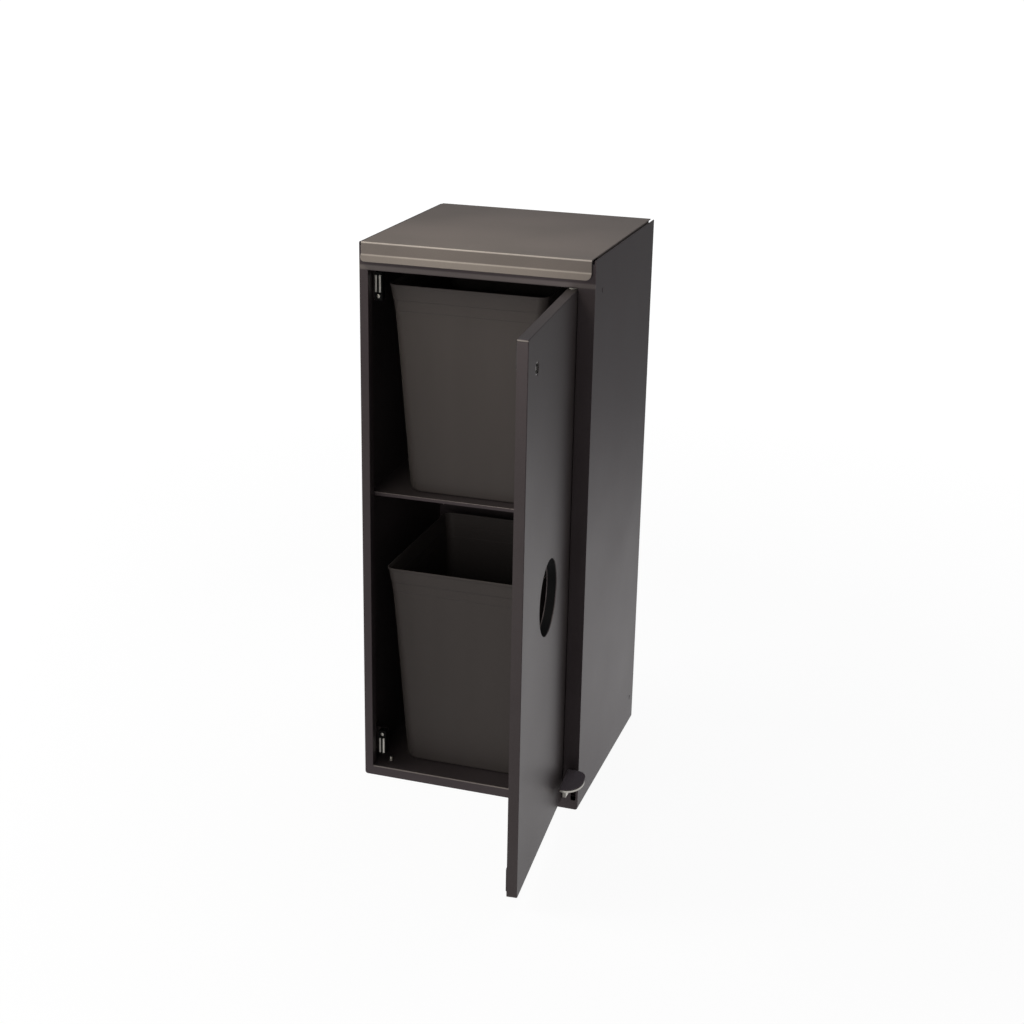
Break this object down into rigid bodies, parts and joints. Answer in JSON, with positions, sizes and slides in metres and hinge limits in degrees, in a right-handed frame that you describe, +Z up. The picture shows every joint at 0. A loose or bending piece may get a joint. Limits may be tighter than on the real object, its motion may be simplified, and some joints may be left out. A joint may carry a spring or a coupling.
{
  "type": "dog waste bin",
  "caption": "Sheet steel pedal bin cabinet with a hinged lid, a lockable door with a round bag hole, and loose inner bins that slide out.",
  "frame": {"origin": "centre of the cabinet's base, on the ground, at the underside of the floor stiffener", "axes": "+Z up, -Y out of the door side, +X to the right as seen by the user"},
  "size_m": [0.419, 0.7237, 0.9739],
  "materials": {
    "body_coat": "fine-textured dark umbra-grey powder coat",
    "door_coat": "fine-textured dark umbra-grey powder coat",
    "lid_coat": "fine-textured dark umbra-grey powder coat",
    "bin_plastic": "moulded, fine matte grain",
    "black_plastic": "moulded",
    "zinc_steel": "zinc plated",
    "bare_steel": "cut and tumbled",
    "magnet": "sintered",
    "pedal_rubber": "matte",
    "buffer_rubber": "matte",
    "nylon": "moulded",
    "lock_metal": "die cast and plated"
  },
  "bodies": {
    "cabinet": {"side_panel_left": "body_coat", "side_panel_right": "body_coat", "back_panel": "body_coat", "front_frame": "body_coat", "floor_panel": "body_coat", "floor_stiffener": "body_coat", "shelf": "body_coat", "corner_angle": "body_coat", "lower_catch_bracket": "body_coat", "upper_catch_bracket": "body_coat", "lower_rod_guide": "body_coat", "upper_rod_guide": "body_coat", "pedal_bracket": "body_coat", "panel_rivets": "body_coat", "lower_catch_housing": "black_plastic", "upper_catch_housing": "black_plastic", "lower_catch_magnet": "magnet", "upper_catch_magnet": "magnet", "levelling_feet": "zinc_steel", "foot_locknuts": "zinc_steel", "back_rivets": "zinc_steel", "lower_catch_poles": "zinc_steel", "upper_catch_poles": "zinc_steel", "catch_fasteners": "zinc_steel", "lower_hinge_pin": "zinc_steel", "upper_hinge_pin": "zinc_steel", "lid_hinge_fixed_leaf": "zinc_steel", "lid_hinge_pin": "zinc_steel", "lid_hinge_rivets": "zinc_steel", "pedal_pivot_pin": "zinc_steel", "lid_buffer_left": "buffer_rubber", "lid_buffer_right": "buffer_rubber"},
    "door": {"door_panel": "door_coat", "door_back_plate": "door_coat", "door_hole_ring": "black_plastic", "lower_hinge_block": "zinc_steel", "upper_hinge_block": "zinc_steel", "lower_hinge_bush": "nylon", "upper_hinge_bush": "nylon", "lower_strike_plate": "zinc_steel", "upper_strike_plate": "zinc_steel", "strike_screws": "zinc_steel", "lock_body": "lock_metal", "lock_nut": "lock_metal"},
    "lock_core": {"lock_insert": "lock_metal", "lock_cam": "lock_metal", "lock_cam_screw": "lock_metal"},
    "lid": {"lid_panel": "lid_coat", "lid_hinge_moving_leaf": "zinc_steel", "lid_crank": "lid_coat"},
    "pedal": {"pedal_plate": "bare_steel", "pedal_pad": "pedal_rubber", "pedal_lever": "bare_steel", "pedal_bush": "nylon"},
    "lift_rod": {"push_rod": "zinc_steel"},
    "upper_bin_body": {"upper_bin": "bin_plastic"},
    "lower_bin_body": {"lower_bin": "bin_plastic"}
  },
  "joints": [
    {"name": "door_hinge", "type": "hinge", "parent": "cabinet", "child": "door", "pos_m": [0.162, -0.1845, 0.47], "axis": [0, 0, 1], "range_deg": [-94.2, 0]},
    {"name": "lid_hinge", "type": "hinge", "parent": "cabinet", "child": "lid", "pos_m": [0, 0.1865, 0.969], "axis": [-1, 0, 0], "range_deg": [0, 65]},
    {"name": "pedal_pivot", "type": "hinge", "parent": "cabinet", "child": "pedal", "pos_m": [0.1915, -0.003, 0.068], "axis": [1, 0, 0], "range_deg": [0, 10.5]},
    {"name": "rod_slide", "type": "slide", "parent": "cabinet", "child": "lift_rod", "axis": [0, 0, 1], "range_m": [0, 0.03044]},
    {"name": "upper_bin_slide", "type": "slide", "parent": "cabinet", "child": "upper_bin_body", "axis": [0, -1, 0], "range_m": [0, 0.28]},
    {"name": "lower_bin_slide", "type": "slide", "parent": "cabinet", "child": "lower_bin_body", "axis": [0, -1, 0], "range_m": [0, 0.28]},
    {"name": "lock_turn", "type": "hinge", "parent": "door", "child": "lock_core", "pos_m": [0.18306, -0.47123, 0.868], "axis": [-0.9973, -0.0732, 0], "range_deg": [0, 90]}
  ],
  "couplings": [
    {"joint": "pedal_pivot", "follows": "lid_hinge", "ratio": 0.16154},
    {"joint": "rod_slide", "follows": "lid_hinge", "m_per_rad": 0.026828}
  ]
}
